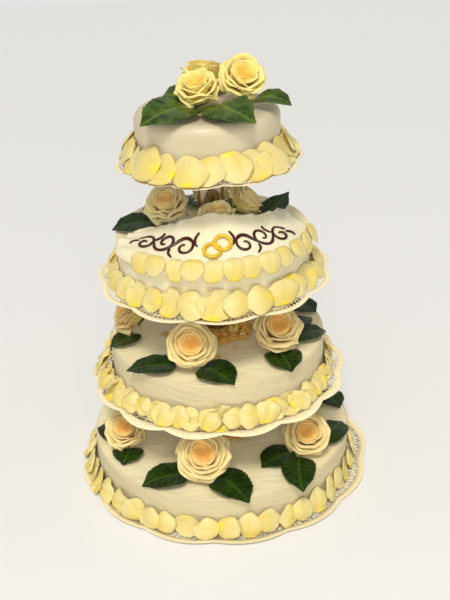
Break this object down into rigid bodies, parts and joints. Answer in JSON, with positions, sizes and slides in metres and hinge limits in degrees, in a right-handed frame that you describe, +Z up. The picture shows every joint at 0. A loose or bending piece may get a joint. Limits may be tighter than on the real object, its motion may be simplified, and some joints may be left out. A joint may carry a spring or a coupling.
{
  "type": "tiered wedding cake",
  "caption": "Tiered wedding cake: round cream-iced cakes held apart on a centre column, each on a paper doily, dressed with fresh roses, leaves, petals, almonds and a marzipan sheet.",
  "frame": {"origin": "centre of the underside of the bottom doily, on the surface the cake stands on", "axes": "+Z up along the centre column, -Y towards the front of the cake, +X to the viewer's right"},
  "size_m": [0.4145, 0.4145, 0.5671],
  "materials": {
    "icing": "matte cream icing, spread with a knife",
    "fondant": "smooth satin cream fondant",
    "marzipan": "smooth satin rolled marzipan",
    "doily": "matte cream embossed paper lace",
    "petal": "satin pale yellow, deeper yellow at the base",
    "rose": "satin cream with a peach heart",
    "leaf": "glossy dark green",
    "almond": "toasted golden brown",
    "ring_icing": "glossy golden yellow icing",
    "plate": "satin metal",
    "column": "polished metal tube"
  },
  "bodies": {
    "root": {"cake_bottom": "icing", "doily_bottom": "doily", "petals_bottom": "petal", "cake_lower": "icing", "doily_lower": "doily", "petals_lower": "petal", "cake_upper": "icing", "doily_upper": "doily", "petals_upper": "petal", "cake_top": "fondant", "doily_top": "doily", "petals_top": "petal", "plate_lower": "plate", "plate_upper": "plate", "plate_top": "plate", "column_bottom": "column", "column_lower": "column", "column_upper": "column", "almonds_bottom": "almond", "almonds_lower": "almond", "marzipan_sheet": "marzipan", "petals_sheet": "petal", "wedding_rings": "ring_icing", "rose_bottom_a": "rose", "leaves_bottom_a": "leaf", "rose_bottom_b": "rose", "leaves_bottom_b": "leaf", "rose_bottom_c": "rose", "leaves_bottom_c": "leaf", "rose_bottom_d": "rose", "leaves_bottom_d": "leaf", "rose_bottom_e": "rose", "leaves_bottom_e": "leaf", "rose_bottom_f": "rose", "leaves_bottom_f": "leaf", "rose_lower_a": "rose", "leaves_lower_a": "leaf", "rose_lower_b": "rose", "leaves_lower_b": "leaf", "rose_lower_c": "rose", "leaves_lower_c": "leaf", "rose_lower_d": "rose", "leaves_lower_d": "leaf", "rose_lower_e": "rose", "leaves_lower_e": "leaf", "rose_upper_a": "rose", "leaves_upper_a": "leaf", "rose_upper_b": "rose", "leaves_upper_b": "leaf", "rose_upper_c": "rose", "leaves_upper_c": "leaf", "rose_upper_d": "rose", "leaves_upper_d": "leaf", "rose_top_a": "rose", "leaves_top_a": "leaf", "rose_top_b": "rose", "leaves_top_b": "leaf", "rose_top_c": "rose", "leaves_top_c": "leaf"}
  },
  "joints": []
}
